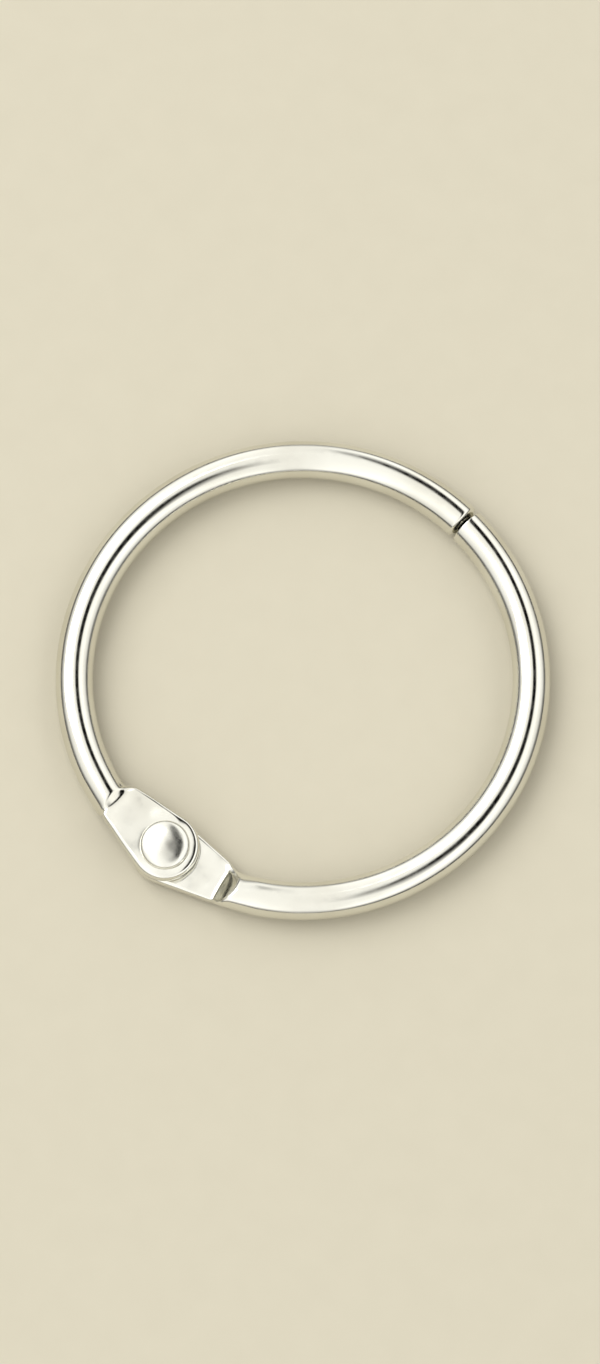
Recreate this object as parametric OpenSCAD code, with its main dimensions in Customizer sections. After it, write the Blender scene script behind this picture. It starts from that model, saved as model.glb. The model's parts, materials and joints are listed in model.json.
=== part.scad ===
// Binder ring: two half rings of round wire, hinged on a rivet and closed by a peg in a socket.
// The closed ring lies flat on z = 0, with its loop centred on the origin, its hinge at -Y and its clasp at +Y.

/* [Ring] */
// Clear diameter inside the closed ring
loop_d = 25.4; // [20:0.1:50]
// Diameter of the round wire
wire_d = 2.3; // [2.1:0.05:2.6]

/* [Hinge] */
// Distance of the rivet inside the wire's centre line
rivet_inset = 0.4; // [0.3:0.05:0.8]
// Width of the flattened eye around the rivet
eye_w = 4.2; // [4:0.1:4.8]
// Thickness of each flattened eye
eye_t = 0.9; // [0.7:0.05:1]
// How far the rim of the flattened metal bulges past its flat faces
rim_bulge = 0.12; // [0.05:0.01:0.2]
// How far inside the eye's round rim its straight flanks start
flank_set = 0.05; // [0.02:0.01:0.1]
// Running gap between the two eyes
eye_gap = 0.04; // [0.02:0.01:0.1]
// Straight length of the hinge arm, from the rivet to the start of the wire's bend
arm_straight = 2.3; // [2:0.1:2.6]
// Distance from the rivet to the foot of the shoulder, where the wire is round again
shoulder_x = 4.2; // [3.8:0.1:5]
// Slope of the shoulder down to the flat
shoulder_slope = 60; // [45:1:70]
// Fillet at the foot of the shoulder
shoulder_fillet = 0.25; // [0.1:0.05:0.4]
// Distance from the rivet to the arm's inner corner, where its flank turns in to the wire
corner_x = 3.8; // [3.5:0.1:4.2]
// How far that corner lies inside the width of the eye
corner_set = 0.25; // [0.15:0.05:0.4]
// Slope of the arm's edge from its corners in to the wire
corner_slope = 42; // [35:1:60]
// How far the arm's outer flank stands outside the wire at the shoulder
outer_lap = 0.05; // [0.03:0.01:0.15]

/* [Rivet] */
// Diameter of the rivet's shank, pressed into the lower eye
rivet_d = 1.5; // [1.2:0.05:1.8]
// Radial running clearance of the upper eye on the shank
rivet_clearance = 0.04; // [0.02:0.01:0.08]
// Axial play of the upper eye under the rivet's head
rivet_play = 0.03; // [0.01:0.01:0.1]
// Diameter of the domed head
head_d = 3; // [2.4:0.1:3.4]
// Height of the domed head
head_h = 0.55; // [0.4:0.05:0.8]
// Diameter of the peened tail
tail_d = 2.6; // [2.2:0.1:3.2]
// Height of the peened tail
tail_h = 0.22; // [0.18:0.02:0.5]
// Height of the upright rim below either dome
button_rim = 0.1; // [0.04:0.02:0.14]

/* [Clasp] */
// Angle of the clasp from straight across the hinge, towards the socket half
clasp_turn = 8; // [0:0.5:10]
// Height of the domed nose on the peg half
nose_h = 0.45; // [0.3:0.05:0.6]
// Gap between the nose and the cup that faces it
seam_gap = 0.3; // [0.15:0.05:0.4]
// Diameter of the ball on the end of the peg
peg_d = 1.2; // [1:0.05:1.3]
// Diameter of the peg's neck
peg_neck_d = 0.9; // [0.6:0.05:0.95]
// Length of the peg beyond the nose
peg_len = 1.6; // [1.2:0.1:2]
// Radial clearance of the ball in the socket, which lets the peg swing out
peg_clearance = 0.1; // [0.09:0.01:0.12]
// Clearance between the tip of the peg and the bottom of the socket
peg_end_clearance = 0.25; // [0.1:0.05:0.4]
// Point angle of the drilled socket's bottom
drill_angle = 118; // [90:1:140]

/* [Hidden] */

$fn = 96;
nickel = "#d9d6d0";
fillet_steps = 6;

wire_r = wire_d / 2;
ring_r = (loop_d + wire_d) / 2;
eye_r = eye_w / 2;
rivet_y = rivet_inset - ring_r;
stack_h = 2 * eye_t + eye_gap;
// Height of the wire's centre plane above whatever the ring lies on
mid_z = max(wire_r, stack_h / 2 + tail_h);
// Size that is beyond any part of the wire's section
past_wire = wire_d;

// The bend leads from the ring's circle into the straight arm, tangent to both.
bend_r = (ring_r - rivet_y) / 2 - arm_straight * arm_straight / (2 * rivet_inset);
bend_y = rivet_y + bend_r;
bend_angle = atan2(bend_y, arm_straight);

// The inner flank runs almost straight to its corner, and the outer one into the side of the wire.
wire_lean = asin(shoulder_x / ring_r);
wire_rise = -rivet_y - ring_r * cos(wire_lean);
inner_corner = [corner_x, eye_r - corner_set];
outer_corner = [shoulder_x, wire_r / cos(wire_lean) - wire_rise + outer_lap];
flank_r = eye_r - flank_set;
bulge_r = (eye_t * eye_t / 4 + rim_bulge * rim_bulge) / (2 * rim_bulge);

// The nose and the cup are spheres about one centre on the peg's axis.
nose_r = (wire_r * wire_r + nose_h * nose_h) / (2 * nose_h);
nose_tip_x = (nose_h - seam_gap) / 2;
nose_x = nose_tip_x - nose_r;
overrun_angle = nose_h / ring_r * 180 / PI;
peg_tip_x = nose_tip_x + peg_len;
socket_end_x = peg_tip_x + peg_end_clearance;
socket_r = peg_d / 2 + peg_clearance;

// Section of the flattened metal, from an inner distance out to its bulging rim
module rim_section(inner, outer) {
    difference() {
        translate([inner, 0])
            square([outer - inner, eye_t]);
        difference() {
            translate([outer - rim_bulge, -eye_t])
                square([2 * rim_bulge, 3 * eye_t]);
            translate([outer - bulge_r, eye_t / 2])
                circle(bulge_r);
        }
    }
}

// Half slab of flattened metal, bounded by a straight rim at a distance and angle from the rivet
module rim_slab(distance, angle, start) {
    reach = 2 * shoulder_x;
    rotate([90, 0, 90 - angle])
        translate([0, 0, start])
            linear_extrude(reach - start)
                rim_section(-reach, distance);
}

// One flank of the arm, from the eye to a corner, where it turns in to the wire
module flank(corner) {
    flank_angle = asin(flank_r / norm(corner)) - atan2(corner.y, corner.x);
    turn_in = corner.y * cos(corner_slope) + corner.x * sin(corner_slope);
    intersection() {
        rim_slab(flank_r, flank_angle, 0);
        rim_slab(turn_in, corner_slope, -2 * shoulder_x);
    }
}

// Flattened end of the wire, its underside on z = 0, with the arm towards +X
module flattened_eye() {
    rotate_extrude()
        rim_section(0, eye_r);
    intersection() {
        flank(inner_corner);
        mirror([0, 1, 0])
            flank(outer_corner);
    }
}

// Space above one flat face of the arm, from the rivet out to the sloping shoulder
module shoulder_cut() {
    foot = shoulder_fillet * tan(shoulder_slope / 2);
    rise = past_wire / tan(shoulder_slope);
    rotate([90, 0, 0])
        linear_extrude(2 * past_wire, center = true)
            polygon(concat(
                [[0, past_wire], [0, 0]],
                [for (i = [0 : fillet_steps])
                    let (a = shoulder_slope * i / fillet_steps)
                        [shoulder_x - foot + shoulder_fillet * sin(a), shoulder_fillet * (1 - cos(a))]],
                [[shoulder_x + rise, past_wire]]
            ));
}

// Round wire of a half ring up to its clasp, laid out from the plane where its bend meets the ring's circle
module bent_wire(clasp_angle) {
    rotate_extrude(angle = clasp_angle + overrun_angle - bend_angle)
        translate([ring_r, 0])
            circle(wire_r);
    mirror([0, 1, 0])
        translate([ring_r - bend_r, 0])
            rotate_extrude(angle = 90 + bend_angle)
                translate([bend_r, 0])
                    circle(wire_r);
}

// Half ring on the +X side with its eye under the centre plane, run a little past the clasp
module half_wire(clasp_angle) {
    difference() {
        rotate([0, 0, bend_angle])
            bent_wire(clasp_angle);
        translate([0, rivet_y, -eye_gap / 2])
            shoulder_cut();
        translate([0, rivet_y, -eye_gap / 2 - eye_t])
            mirror([0, 0, 1])
                shoulder_cut();
    }
    translate([0, rivet_y, -eye_gap / 2 - eye_t])
        flattened_eye();
}

module rivet_hole(d) {
    translate([0, rivet_y])
        cylinder(d = d, h = 2 * stack_h, center = true);
}

// Place on the wire where the clasp parts, with +X along the peg
module at_clasp() {
    rotate([0, 0, -clasp_turn])
        translate([0, ring_r])
            children();
}

// Everything beyond the domed nose, as far as the wire overruns the clasp
module nose_trim() {
    difference() {
        translate([nose_x, -past_wire, -past_wire])
            cube([nose_r + past_wire, 2 * past_wire, 2 * past_wire]);
        translate([nose_x, 0])
            sphere(nose_r);
    }
}

// Neck and ball, rooted in the nose
module peg() {
    translate([nose_tip_x - nose_h, 0])
        rotate([0, 90, 0])
            cylinder(d = peg_neck_d, h = nose_h + peg_len - peg_d / 2);
    translate([peg_tip_x - peg_d / 2, 0])
        sphere(d = peg_d);
}

// Cupped end and blind hole with a drilled point
module socket() {
    translate([nose_x, 0])
        sphere(nose_r + seam_gap);
    rotate([0, 90, 0]) {
        cylinder(r = socket_r, h = socket_end_x);
        translate([0, 0, socket_end_x])
            cylinder(r1 = socket_r, r2 = 0, h = socket_r / tan(drill_angle / 2));
    }
}

// Low dome with an upright rim, standing on z = 0
module button(d, h) {
    cap_h = h - button_rim;
    cap_r = (d * d / 4 + cap_h * cap_h) / (2 * cap_h);
    intersection() {
        translate([0, 0, h - cap_r])
            sphere(cap_r);
        cylinder(d = d, h = h);
    }
}

module peg_half() {
    color(nickel)
        translate([0, 0, mid_z]) {
            difference() {
                rotate([0, 180, 0])
                    half_wire(90 + clasp_turn);
                at_clasp()
                    nose_trim();
                rivet_hole(rivet_d + 2 * rivet_clearance);
            }
            at_clasp()
                peg();
        }
}

module socket_half() {
    color(nickel)
        translate([0, 0, mid_z])
            difference() {
                half_wire(90 - clasp_turn);
                at_clasp()
                    socket();
                rivet_hole(rivet_d);
            }
}

module hinge_rivet() {
    color(nickel)
        translate([0, rivet_y, mid_z]) {
            translate([0, 0, -stack_h / 2])
                cylinder(d = rivet_d, h = stack_h + rivet_play);
            translate([0, 0, stack_h / 2 + rivet_play])
                button(head_d, head_h);
            translate([0, 0, -stack_h / 2])
                mirror([0, 0, 1])
                    button(tail_d, tail_h);
        }
}

peg_half();
socket_half();
hinge_rivet();
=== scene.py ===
import json
import math

import bmesh
import bpy
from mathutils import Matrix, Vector

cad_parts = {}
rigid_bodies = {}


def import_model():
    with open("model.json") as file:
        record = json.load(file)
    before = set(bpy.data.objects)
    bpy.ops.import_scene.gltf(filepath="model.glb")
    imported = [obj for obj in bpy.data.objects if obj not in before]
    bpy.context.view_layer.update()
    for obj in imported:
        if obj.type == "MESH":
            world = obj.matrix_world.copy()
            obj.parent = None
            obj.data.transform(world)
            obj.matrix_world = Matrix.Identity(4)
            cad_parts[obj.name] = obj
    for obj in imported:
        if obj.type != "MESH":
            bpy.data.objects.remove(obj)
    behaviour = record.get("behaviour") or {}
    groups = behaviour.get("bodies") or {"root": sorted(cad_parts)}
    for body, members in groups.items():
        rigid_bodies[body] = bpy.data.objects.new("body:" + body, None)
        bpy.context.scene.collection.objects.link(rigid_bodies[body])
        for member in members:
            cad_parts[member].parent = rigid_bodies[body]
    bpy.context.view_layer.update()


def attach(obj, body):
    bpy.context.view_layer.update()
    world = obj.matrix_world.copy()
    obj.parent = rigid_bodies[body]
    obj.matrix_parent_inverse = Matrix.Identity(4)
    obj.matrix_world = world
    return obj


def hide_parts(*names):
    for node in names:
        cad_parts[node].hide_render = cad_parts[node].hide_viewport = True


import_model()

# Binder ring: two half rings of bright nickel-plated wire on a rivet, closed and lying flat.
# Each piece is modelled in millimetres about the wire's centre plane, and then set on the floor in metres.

MM = 0.001              # one millimetre, in metres

# Sizes in millimetres, as in the part's source, but with the arm's corners a little inside
WIRE_R = 1.15
RING_R = 13.85
WIRE_PLANE_Z = 1.15     # height of the wire's centre plane above the floor
RIVET_Y = -13.45
EYE_R = 2.1
EYE_TOP = -0.02         # flat faces of the lower eye, from the wire's centre plane
EYE_BOTTOM = -0.92
UPPER_HOLE_R = 0.79     # rivet holes
LOWER_HOLE_R = 0.76     # 0.01 wider than in the source, just clear of the shank
SHOULDER_X = 4.2
SHOULDER_SLOPE = 60     # slope of the shoulders down to the flat faces
INNER_CORNER = (3.75, 1.82)     # ends of the arm's flanks, from the rivet, along the arm and across it
OUTER_CORNER = (4.1, -0.96)
CLASP_TURN = 8          # degrees from straight across the hinge to the clasp
NOSE_R = 1.694
CUP_R = 1.994
NOSE_SET = 1.619        # from the clasp back to the middle of nose and cup
PEG_NECK_R = 0.45
BALL_R = 0.6
BALL_SET = 1.075        # from the clasp to the middle of the ball
SOCKET_R = 0.7
SOCKET_END = 1.925
SOCKET_POINT = 2.345
SHANK_R = 0.75
HEAD_R = 1.5
HEAD_FOOT = 0.95        # heights of the rivet's buttons, from the wire's centre plane
HEAD_TOP = 1.5
TAIL_R = 1.3
TAIL_FOOT = -0.92
TAIL_TOP = -1.14

# Rounding of the forged metal, in millimetres
EYE_EDGE_R = 0.3
WIRE_EDGE = 0.015       # how far the wire's edge is rolled in at the clasp
WIRE_END = -64.5        # degrees from +X about the ring's middle to the end of the bent wire
SHOULDER_RUN = 0.28     # from the foot of the shoulder back to the end of the round wire
SHOULDER_LIP = 0.12     # short flat in front of the shoulder
CORNER_SET = 0.15       # from the arm's corners back to where they start to round
CORNER_LENGTH = 0.2     # length of the rounded stretch at the corners, and how much it narrows
CORNER_TAPER = 0.92
TAPER_MIDDLE = 0.3      # line that it narrows towards, across the arm from the rivet
NOTCH_END = (4.7, 1.25)         # end of the notch beside the inner corner, along the arm and across it
BUTTON_SEAT = 0.1       # from the shank out to the first ring under either button of the rivet
BUTTON_RIM = 0.08       # height of the rim below either dome
BUTTON_EDGE = ((0.1, 0), (0.02, 0.015), (0, 0.05))      # rolled edge below it, in from the rim and up
CROWN_ANGLES = (10, 22, 36, 50, 64, 76, 86, 89)         # degrees up the dome from its rim

# How finely the cages are divided, before they are smoothed
EYE_STEPS = 48
FLANKS = (-75, 90)      # bearings from the rivet where the arm's outer and inner flanks leave the eye's rim
EDGE_STEPS = 3
RIM_ROWS = 2 * EDGE_STEPS + 1
ARM_COLUMNS = round((FLANKS[1] - FLANKS[0]) * EYE_STEPS / 360)
WIRE_SIDES = 2 * (ARM_COLUMNS + RIM_ROWS)
BEND_STEPS = 56
RIVET_SIDES = 48
ARM_CUTS = 3
LONG_EDGE = 1.3         # edges of the arm that are longer than this are cut
JOIN_CUTS = 3
TOUCHING = 0.001        # points nearer than this are one point
SLACK = 0.01            # room for rounding when something is picked by its place


# Ways of working in edit mode

def pick(kind, test):
    """Select just those vertices, edges or faces that pass a test of their place."""
    bpy.ops.mesh.select_mode(type={"verts": "VERT", "edges": "EDGE", "faces": "FACE"}[kind])
    bpy.ops.mesh.select_all(action="DESELECT")
    mesh = bpy.context.object.data
    cage = bmesh.from_edit_mesh(mesh)
    for item in [item for item in getattr(cage, kind) if test(item)]:
        item.select_set(True)
    cage.select_flush_mode()
    bmesh.update_edit_mesh(mesh)


def pick_open_ends():
    pick("edges", lambda edge: edge.is_boundary)


def extrude(move):
    bpy.ops.mesh.extrude_region_move(TRANSFORM_OT_translate={"value": tuple(move)})


def stretch(factors, about):
    bpy.ops.transform.resize(value=factors, center_override=tuple(about))


def turn(degrees, axis, about=(0, 0, 0)):
    """Turn what is selected. With no window the operator turns the other way."""
    bpy.ops.transform.rotate(value=-math.radians(degrees), orient_axis=axis, center_override=about)


def ease():
    """Even out the vertices that are selected."""
    bpy.ops.mesh.vertices_smooth(factor=0.5, repeat=4)


def draw_out(stations, foot, axis):
    """Extrude the selected ring of edges through (radius, distance) stations on an axis, and close it."""
    radius, distance = stations[0]
    for next_radius, next_distance in stations[1:]:
        extrude(axis * (next_distance - distance))
        ratio = next_radius / radius
        stretch((ratio, ratio, ratio), foot + axis * next_distance)
        radius, distance = next_radius, next_distance
    bpy.ops.mesh.merge(type="CENTER")


def start_ring(name, sides, radius, place, turned=(0, 0, 0)):
    """Begin a piece as a ring of edges, and go into edit mode."""
    bpy.ops.object.select_all(action="DESELECT")
    bpy.ops.mesh.primitive_circle_add(vertices=sides, radius=radius, location=place, rotation=turned)
    piece = bpy.context.object
    piece.name = piece.data.name = name
    bpy.ops.object.transform_apply(location=True, rotation=True, scale=True)
    bpy.ops.object.mode_set(mode="EDIT")
    bpy.ops.mesh.select_all(action="SELECT")
    return piece


def finish_piece(piece, body, node, material):
    """Close the cage, set it on the floor in metres, smooth it and hang it on its body."""
    bpy.ops.mesh.select_all(action="SELECT")
    bpy.ops.mesh.remove_doubles(threshold=TOUCHING)
    bpy.ops.mesh.normals_make_consistent(inside=False)
    bpy.ops.transform.translate(value=(0, 0, WIRE_PLANE_Z))
    stretch((MM, MM, MM), (0, 0, 0))
    bpy.ops.object.mode_set(mode="OBJECT")
    smooth = piece.modifiers.new("smooth", "SUBSURF")
    smooth.levels = smooth.render_levels = 2
    bpy.ops.object.modifier_apply(modifier=smooth.name)
    bpy.ops.object.shade_smooth()
    piece.data.materials.append(material)
    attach(piece, body)
    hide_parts(node)


# The clasp's two ends, from the round wire inwards, as (radius, distance) along the wire

def cup_at(radius):
    return math.sqrt(CUP_R ** 2 - radius ** 2) - NOSE_SET


def nose_at(radius):
    return NOSE_SET - math.sqrt(NOSE_R ** 2 - radius ** 2)


SOCKET_END_STATIONS = [
    (WIRE_R, 0.25),
    (WIRE_R, 0.09),
    (WIRE_R - WIRE_EDGE, 0.035),
    *[(r, cup_at(r)) for r in (1.07, 0.95, 0.82, 0.74)],
    (SOCKET_R, 0.29),
    (SOCKET_R, 0.4),
    (SOCKET_R, 1),
    (SOCKET_R, SOCKET_END - 0.1),
    (SOCKET_R, SOCKET_END),
    (SOCKET_R / 2, (SOCKET_END + SOCKET_POINT) / 2),
    (0.05, SOCKET_POINT),
]
BALL_STATIONS = [
    (BALL_R * math.sin(math.radians(a)), BALL_R * math.cos(math.radians(a)) - BALL_SET)
    for a in (52, 70, 90, 110, 130, 150, 170)
]
PEG_END_STATIONS = [
    (WIRE_R, 0.62),
    (WIRE_R, 0.45),
    (WIRE_R - WIRE_EDGE, 0.39),
    *[(r, nose_at(r)) for r in (1.07, 0.9, 0.7, 0.55, 0.49)],
    (PEG_NECK_R + 0.01, -0.03),
    (PEG_NECK_R, -0.1),
    (PEG_NECK_R, -0.4),
    (PEG_NECK_R, -0.62),
    *BALL_STATIONS,
]


# The half rings

def from_rivet(point):
    return math.hypot(point.x, point.y - RIVET_Y)


def bearing(point):
    return math.degrees(math.atan2(point.y - RIVET_Y, point.x))


def bend_wire(clasp_angle, stations):
    """Make the clasp's end of the wire at +Y, bend the wire round to the hinge and turn it to its place."""
    draw_out(stations, Vector((0, RING_R, 0)), Vector((1, 0, 0)))
    pick_open_ends()
    start = math.degrees(math.asin(stations[0][1] / RING_R))
    swept = math.radians(clasp_angle - start - WIRE_END)
    bpy.ops.mesh.spin(steps=BEND_STEPS, angle=swept, center=(0, 0, 0), axis=(0, 0, 1))
    bpy.ops.mesh.select_all(action="SELECT")
    turn(clasp_angle - 90, "Z")

    # The wire's end faces the rivet, and leans back from the flat faces above and below it.
    pick_open_ends()
    end_angle = math.radians(WIRE_END)
    end = RING_R * Vector((math.cos(end_angle), math.sin(end_angle), 0))
    lean = math.asin((SHOULDER_X + SHOULDER_RUN) / RING_R)
    shoulder = RING_R * Vector((math.sin(lean), -math.cos(lean), 0))
    extrude(shoulder - end)
    stretch((0, 1, 1), shoulder)
    stretch((1, 1 / math.sin(-end_angle) / math.cos(lean), 1), shoulder)
    cage = bmesh.from_edit_mesh(bpy.context.object.data)
    heights = sorted({round(vert.co.z, 3) for vert in cage.verts if vert.is_boundary})
    for height in heights:
        past_flat = max(height - EYE_TOP, EYE_BOTTOM - height, 0)
        pick("verts", lambda vert: vert.is_boundary and abs(vert.co.z - height) < 2 * TOUCHING)
        bpy.ops.transform.translate(value=(past_flat / math.tan(math.radians(SHOULDER_SLOPE)), 0, 0))
    pick_open_ends()
    extrude((-SHOULDER_LIP, 0, 0))


def spin_eye(hole_r):
    """Make the eye's outline beside the rivet, with a rolled edge, and spin it about the rivet."""
    middle = Vector(((EYE_R + hole_r) / 2, RIVET_Y, (EYE_TOP + EYE_BOTTOM) / 2))
    bpy.ops.mesh.select_all(action="DESELECT")
    bpy.ops.mesh.primitive_plane_add(size=1, location=middle, rotation=(math.radians(90), 0, 0))
    stretch((EYE_R - hole_r, 1, EYE_TOP - EYE_BOTTOM), middle)
    pick("verts", lambda vert: abs(from_rivet(vert.co) - EYE_R) < TOUCHING)
    bpy.ops.mesh.bevel(offset=EYE_EDGE_R, offset_type="OFFSET", segments=EDGE_STEPS, affect="VERTICES")
    pick("faces", lambda face: from_rivet(face.calc_center_median()) < EYE_R)
    bpy.ops.mesh.delete(type="ONLY_FACE")
    pick("edges", lambda edge: edge.is_wire)
    bpy.ops.mesh.spin(steps=EYE_STEPS, angle=math.tau, center=(0, RIVET_Y, 0), axis=(0, 0, 1))
    pick("verts", lambda vert: from_rivet(vert.co) < EYE_R + SLACK)
    bpy.ops.mesh.remove_doubles(threshold=TOUCHING)


def on_arm_rim(face):
    place = face.calc_center_median()
    return EYE_R - EYE_EDGE_R < from_rivet(place) < EYE_R + SLACK and FLANKS[0] < bearing(place) < FLANKS[1]


def pull_arm():
    """Pull part of the eye's rim out into the arm, and slant its end from the inner corner to the outer."""
    inner, outer = Vector((*INNER_CORNER, 0)), Vector((*OUTER_CORNER, 0))
    end = (inner + outer) / 2 + Vector((-CORNER_SET, RIVET_Y, 0))
    rim_outer, rim_inner = (EYE_R * math.sin(math.radians(flank)) for flank in FLANKS)
    pick("faces", on_arm_rim)
    extrude((1, 0, 0))
    stretch((0, 1, 1), end)
    bpy.ops.transform.translate(value=(0, end.y - RIVET_Y - (rim_inner + rim_outer) / 2, 0))
    stretch((1, (inner - outer).length / (rim_inner - rim_outer), 1), end)
    turn(math.degrees(math.atan2(outer.x - inner.x, inner.y - outer.y)), "Z", tuple(end))
    extrude((CORNER_LENGTH, 0, 0))
    stretch((1, CORNER_TAPER, 1), (0, RIVET_Y + TAPER_MIDDLE, 0))
    bpy.ops.mesh.delete(type="FACE")
    pick("edges", lambda edge: edge.calc_length() > LONG_EDGE
         and all(from_rivet(vert.co) < SHOULDER_X for vert in edge.verts))
    bpy.ops.mesh.subdivide(number_cuts=ARM_CUTS)


def join_arm():
    """Bridge the arm's end to the wire's shoulder, and ease the join and the notch at the inner corner."""
    pick_open_ends()
    bpy.ops.mesh.bridge_edge_loops(number_cuts=JOIN_CUTS, interpolation="LINEAR")
    bpy.ops.mesh.select_less()
    ease()
    pick("verts", lambda vert: INNER_CORNER[0] < vert.co.x < NOTCH_END[0]
         and NOTCH_END[1] < vert.co.y - RIVET_Y < EYE_R)
    ease()


def model_half(name, clasp_angle, stations, hole_r):
    """A half ring on the +X side, with its eye below the wire's centre plane."""
    place = (stations[0][1], RING_R, 0)
    piece = start_ring(name, WIRE_SIDES, WIRE_R, place, (0, math.radians(90), 0))
    turn(180 / WIRE_SIDES, "X", place)
    bend_wire(clasp_angle, stations)
    spin_eye(hole_r)
    pull_arm()
    join_arm()
    return piece


# The rivet

def button(radius, foot, top):
    """Stations of a low dome on the rivet's shank, from its underside to its crown."""
    up = 1 if top > foot else -1
    rim = foot + up * BUTTON_RIM
    crown = [(math.cos(math.radians(a)), math.sin(math.radians(a))) for a in CROWN_ANGLES]
    return [
        (SHANK_R, 0),
        (SHANK_R, foot - up * BUTTON_RIM),
        (SHANK_R, foot),
        (SHANK_R + BUTTON_SEAT, foot),
        *[(radius - inset, foot + up * rise) for inset, rise in BUTTON_EDGE],
        *[(radius * across, rim + (top - rim) * along) for across, along in crown],
    ]


def model_rivet(name):
    """Shank through both eyes, with a domed head above and a low peened tail below."""
    foot, axis = Vector((0, RIVET_Y, 0)), Vector((0, 0, 1))
    piece = start_ring(name, RIVET_SIDES, SHANK_R, foot)
    draw_out(button(HEAD_R, HEAD_FOOT, HEAD_TOP), foot, axis)
    pick_open_ends()
    draw_out(button(TAIL_R, TAIL_FOOT, TAIL_TOP), foot, axis)
    return piece


# Materials

def linear(hex_colour):
    """An sRGB hex colour as linear RGBA."""
    parts = [int(hex_colour[i:i + 2], 16) / 255 for i in (1, 3, 5)]
    return [c / 12.92 if c <= 0.04045 else ((c + 0.055) / 1.055) ** 2.4 for c in parts] + [1]


def add_node(tree, kind, inputs, **settings):
    """Add a node, with its settings and with each input set to a value or linked to an output."""
    made = tree.nodes.new(kind)
    for name, value in settings.items():
        setattr(made, name, value)
    for socket, value in inputs.items():
        if isinstance(value, bpy.types.NodeSocket):
            tree.links.new(value, made.inputs[socket])
        else:
            made.inputs[socket].default_value = value
    return made


def bright_nickel(name, gloss, streaked):
    """Bright nickel plate: a warm white mirror, a little clouded, over metal that isn't quite even.
    On drawn wire, faint lines from the die run along it; a headed rivet is duller."""
    material = bpy.data.materials.new(name)
    material.use_nodes = True
    tree = material.node_tree
    shader = tree.nodes["Principled BSDF"]
    shader.inputs["Metallic"].default_value = 1
    coord = add_node(tree, "ShaderNodeTexCoord", {})
    in_mm = add_node(tree, "ShaderNodeMapping", {
        "Vector": coord.outputs["Object"], "Scale": (1 / MM, 1 / MM, 1 / MM)})
    place = in_mm.outputs["Vector"]

    # Clouds of slightly darker plate, about 5 mm across
    clouds = add_node(tree, "ShaderNodeTexNoise", {
        "Vector": place, "Scale": 1 / 5, "Detail": 3, "Roughness": 0.55})
    tint = add_node(tree, "ShaderNodeValToRGB", {"Fac": clouds.outputs["Fac"]})
    tint.color_ramp.elements[0].position, tint.color_ramp.elements[1].position = 0.35, 0.65
    tint.color_ramp.elements[0].color = linear("#DCDAD0")
    tint.color_ramp.elements[1].color = linear("#E8E7DF")
    tree.links.new(tint.outputs["Color"], shader.inputs["Base Color"])

    # Handling marks, about 0.6 mm across, dull the mirror here and there
    marks = add_node(tree, "ShaderNodeTexNoise", {
        "Vector": place, "Scale": 1 / 0.6, "Detail": 4, "Roughness": 0.6})
    dulled = add_node(tree, "ShaderNodeMapRange", {
        "Value": marks.outputs["Fac"], "From Min": 0.35, "From Max": 0.75,
        "To Min": gloss[0], "To Max": gloss[1]})
    tree.links.new(dulled.outputs["Result"], shader.inputs["Roughness"])

    # Waves about 2.5 mm long in the metal under the plate, deeper where it is flattened around the rivet
    waves = add_node(tree, "ShaderNodeTexNoise", {"Vector": place, "Scale": 1 / 2.5, "Detail": 1})
    reach = add_node(tree, "ShaderNodeVectorMath", {
        0: place, 1: (0, RIVET_Y, WIRE_PLANE_Z)}, operation="DISTANCE")
    depth = add_node(tree, "ShaderNodeMapRange", {
        "Value": reach.outputs["Value"], "From Min": 3.4, "From Max": 4.6,
        "To Min": 0.22 * MM, "To Max": 0.008 * MM})
    uneven = add_node(tree, "ShaderNodeBump", {
        "Height": waves.outputs["Fac"], "Strength": 1, "Distance": depth.outputs["Result"]})
    surface = uneven.outputs["Normal"]
    if streaked:
        # Die lines, laid out round and along the wire, about 6 mm long and 0.09 mm apart.
        # Real ones are finer: these are drawn as coarse as they need to be to show.
        axes = add_node(tree, "ShaderNodeSeparateXYZ", {"Vector": place})
        x, y, z = (axes.outputs[c] for c in "XYZ")
        level = add_node(tree, "ShaderNodeCombineXYZ", {"X": x, "Y": y})
        from_middle = add_node(tree, "ShaderNodeVectorMath", {
            0: level.outputs["Vector"]}, operation="LENGTH")
        out = add_node(tree, "ShaderNodeMath", {
            0: from_middle.outputs["Value"], 1: RING_R}, operation="SUBTRACT")
        up = add_node(tree, "ShaderNodeMath", {0: z, 1: WIRE_PLANE_Z}, operation="SUBTRACT")
        around = add_node(tree, "ShaderNodeMath", {
            0: up.outputs[0], 1: out.outputs[0]}, operation="ARCTAN2")
        along = add_node(tree, "ShaderNodeMath", {0: y, 1: x}, operation="ARCTAN2")
        unrolled = add_node(tree, "ShaderNodeCombineXYZ", {"X": around.outputs[0], "Y": along.outputs[0]})
        stretched = add_node(tree, "ShaderNodeMapping", {
            "Vector": unrolled.outputs["Vector"], "Scale": (WIRE_R / 0.09, RING_R / 6, 1)})
        lines = add_node(tree, "ShaderNodeTexNoise", {
            "Vector": stretched.outputs["Vector"], "Scale": 1, "Detail": 2, "Roughness": 0.6})
        drawn = add_node(tree, "ShaderNodeBump", {
            "Height": lines.outputs["Fac"], "Strength": 1, "Distance": 0.0006 * MM, "Normal": surface})
        surface = drawn.outputs["Normal"]
    tree.links.new(surface, shader.inputs["Normal"])
    return material


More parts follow.
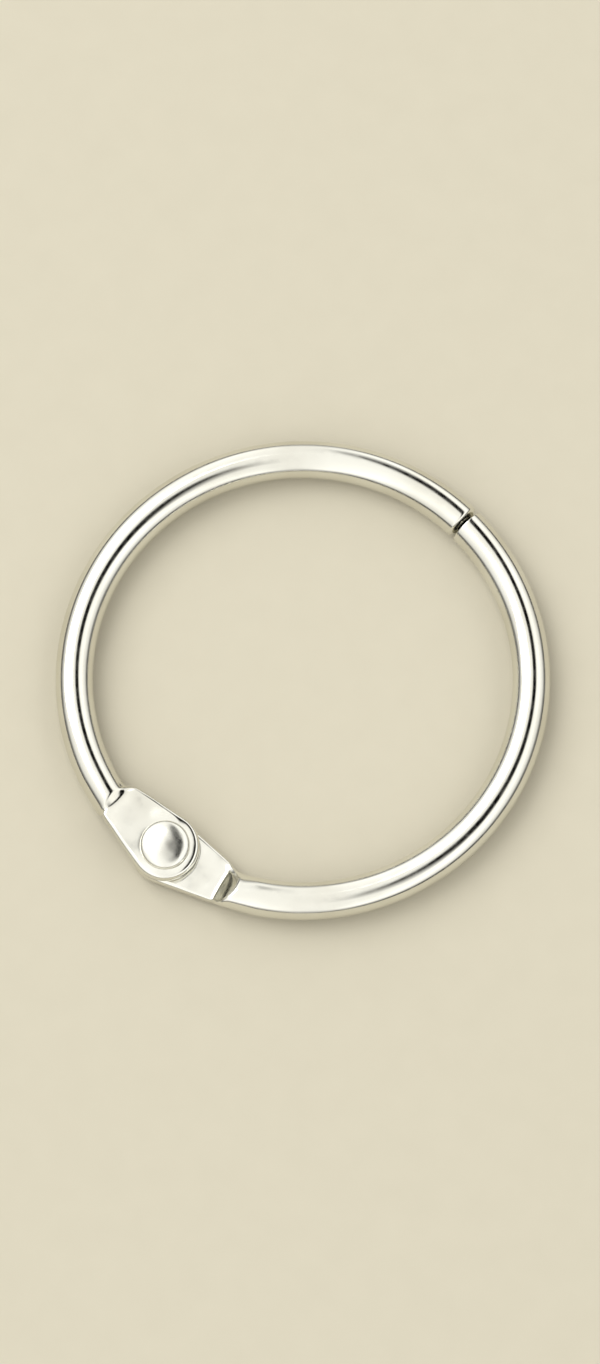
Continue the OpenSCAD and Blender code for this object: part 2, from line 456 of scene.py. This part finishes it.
def pale_board(name):
    """Matt pale board for the floor, with a faint fibre grain about 2 mm across."""
    material = bpy.data.materials.new(name)
    material.use_nodes = True
    tree = material.node_tree
    shader = tree.nodes["Principled BSDF"]
    shader.inputs["Roughness"].default_value = 0.8
    shader.inputs["Specular IOR Level"].default_value = 0.2
    coord = add_node(tree, "ShaderNodeTexCoord", {})
    grain = add_node(tree, "ShaderNodeTexNoise", {
        "Vector": coord.outputs["Object"], "Scale": 1 / (2 * MM), "Detail": 3})
    tint = add_node(tree, "ShaderNodeValToRGB", {"Fac": grain.outputs["Fac"]})
    tint.color_ramp.elements[0].color = linear("#BFB9A7")
    tint.color_ramp.elements[1].color = linear("#C3BDAB")
    tree.links.new(tint.outputs["Color"], shader.inputs["Base Color"])
    return material


# The pieces

plated_wire = bright_nickel("bright_nickel_on_drawn_wire", gloss=(0.09, 0.19), streaked=True)
plated_rivet = bright_nickel("bright_nickel_on_headed_rivet", gloss=(0.18, 0.3), streaked=False)

socket_ring = model_half("socket_half_ring", 90 - CLASP_TURN, SOCKET_END_STATIONS, LOWER_HOLE_R)
finish_piece(socket_ring, "socket_side", "socket_half", plated_wire)

# The peg half is modelled on the same side, and turned over.
peg_ring = model_half("peg_half_ring", 90 + CLASP_TURN, PEG_END_STATIONS, UPPER_HOLE_R)
bpy.ops.mesh.select_all(action="SELECT")
turn(180, "Y")
finish_piece(peg_ring, "peg_side", "peg_half", plated_wire)

headed_rivet = model_rivet("headed_rivet")
finish_piece(headed_rivet, "socket_side", "hinge_rivet", plated_rivet)


# Floor, light and camera, in metres, laid out by the camera's own right and up on the floor

FLOOR_SIZE = 8
SCENE_TURN = math.radians(38)
SCENE_RIGHT = Vector((math.cos(SCENE_TURN), math.sin(SCENE_TURN), 0))
SCENE_UP = Vector((-math.sin(SCENE_TURN), math.cos(SCENE_TURN), 0))
OVERHEAD = Vector((0, 0, 1))
RING_CENTRE = Vector((0, -0.0003, 0.0011))
CAMERA_LENS = 135
CAMERA_ELEVATION = math.radians(75)
CAMERA_DISTANCE = 0.31

bpy.ops.object.select_all(action="DESELECT")
bpy.ops.mesh.primitive_plane_add(size=FLOOR_SIZE, location=(0, 0, 0))
floor = bpy.context.object
floor.name = "floor"
floor.data.materials.append(pale_board("pale_matt_board"))


def softbox(name, right_angle, up_angle, distance, width, length, brightness):
    """A rectangular light that faces the ring, at angles to the right and up from overhead."""
    lamp = bpy.data.lights.new(name, "AREA")
    lamp.shape, lamp.size, lamp.size_y = "RECTANGLE", width, length
    lamp.energy = brightness * math.pi * width * length
    box = bpy.data.objects.new(name, lamp)
    bpy.context.scene.collection.objects.link(box)
    towards = (OVERHEAD + SCENE_RIGHT * math.tan(math.radians(right_angle))
               + SCENE_UP * math.tan(math.radians(up_angle))).normalized()
    box.location = RING_CENTRE + towards * distance
    box.rotation_euler = towards.to_track_quat("Z", "Y").to_euler()


softbox("softbox_left", right_angle=-34, up_angle=24, distance=0.8, width=0.6, length=0.6, brightness=2.6)


def by_lean(tree, side, stops):
    """Grey level by the angle from overhead towards one side, from (degrees, grey) stops."""
    coord = add_node(tree, "ShaderNodeTexCoord", {})
    axes = add_node(tree, "ShaderNodeSeparateXYZ", {"Vector": coord.outputs["Generated"]})
    along = add_node(tree, "ShaderNodeVectorMath", {
        0: coord.outputs["Generated"], 1: tuple(side)}, operation="DOT_PRODUCT")
    lean = add_node(tree, "ShaderNodeMath", {
        0: along.outputs["Value"], 1: axes.outputs["Z"]}, operation="ARCTAN2")
    share = add_node(tree, "ShaderNodeMapRange", {
        "Value": lean.outputs[0], "From Min": -math.pi / 2, "From Max": math.pi / 2})
    profile = add_node(tree, "ShaderNodeValToRGB", {"Fac": share.outputs["Result"]})
    ramp = profile.color_ramp
    for angle, grey in stops:
        ramp.elements.new((angle + 90) / 180).color = (grey, grey, grey, 1)
    ramp.elements.remove(ramp.elements[0])
    ramp.elements.remove(ramp.elements[-1])
    return profile.outputs["Color"]


def studio_walls(name):
    """Soft white panels all round, dark at the floor, with a dark slot between two of them on the right.
    The camera itself sees them plain."""
    world = bpy.data.worlds.new(name)
    world.use_nodes = True
    tree = world.node_tree
    panels = by_lean(tree, SCENE_RIGHT, (
        (-88, 0.12), (-78, 0.3), (-70, 0.95), (-32, 1.5), (-4, 1.2),
        (15, 1.15), (45, 1.5), (70, 0.95), (78, 0.3), (88, 0.12)))
    slot_across = by_lean(tree, SCENE_RIGHT, ((4, 0), (9, 1), (25, 1), (30, 0)))
    slot_along = by_lean(tree, SCENE_UP, ((-32, 0), (-6, 1), (42, 1), (64, 0)))
    foot = by_lean(tree, SCENE_UP, ((-86, 0.35), (-72, 1), (72, 1), (86, 0.35)))
    slot = add_node(tree, "ShaderNodeMath", {0: slot_across, 1: slot_along}, operation="MULTIPLY")
    shut = add_node(tree, "ShaderNodeMath", {0: 1, 1: slot.outputs[0]}, operation="SUBTRACT")
    lit = add_node(tree, "ShaderNodeMath", {0: panels, 1: foot}, operation="MULTIPLY")
    light = add_node(tree, "ShaderNodeMath", {0: lit.outputs[0], 1: shut.outputs[0]}, operation="MULTIPLY")
    rays = add_node(tree, "ShaderNodeLightPath", {})
    plain = 0.72
    seen = add_node(tree, "ShaderNodeMix", {
        "Factor": rays.outputs["Is Camera Ray"], 2: light.outputs[0], 3: plain}, data_type="FLOAT")
    background = tree.nodes["Background"]
    background.inputs["Color"].default_value = linear("#FFFEFA")
    tree.links.new(seen.outputs[0], background.inputs["Strength"])
    return world


bpy.context.scene.world = studio_walls("studio_walls")

lens = bpy.data.cameras.new("camera")
lens.lens = CAMERA_LENS
camera = bpy.data.objects.new("camera", lens)
bpy.context.scene.collection.objects.link(camera)
away = OVERHEAD * math.sin(CAMERA_ELEVATION) - SCENE_UP * math.cos(CAMERA_ELEVATION)
camera.location = RING_CENTRE + away * CAMERA_DISTANCE
camera.rotation_euler = away.to_track_quat("Z", "Y").to_euler()
bpy.context.scene.camera = camera
bpy.context.scene.view_settings.view_transform = "Standard"
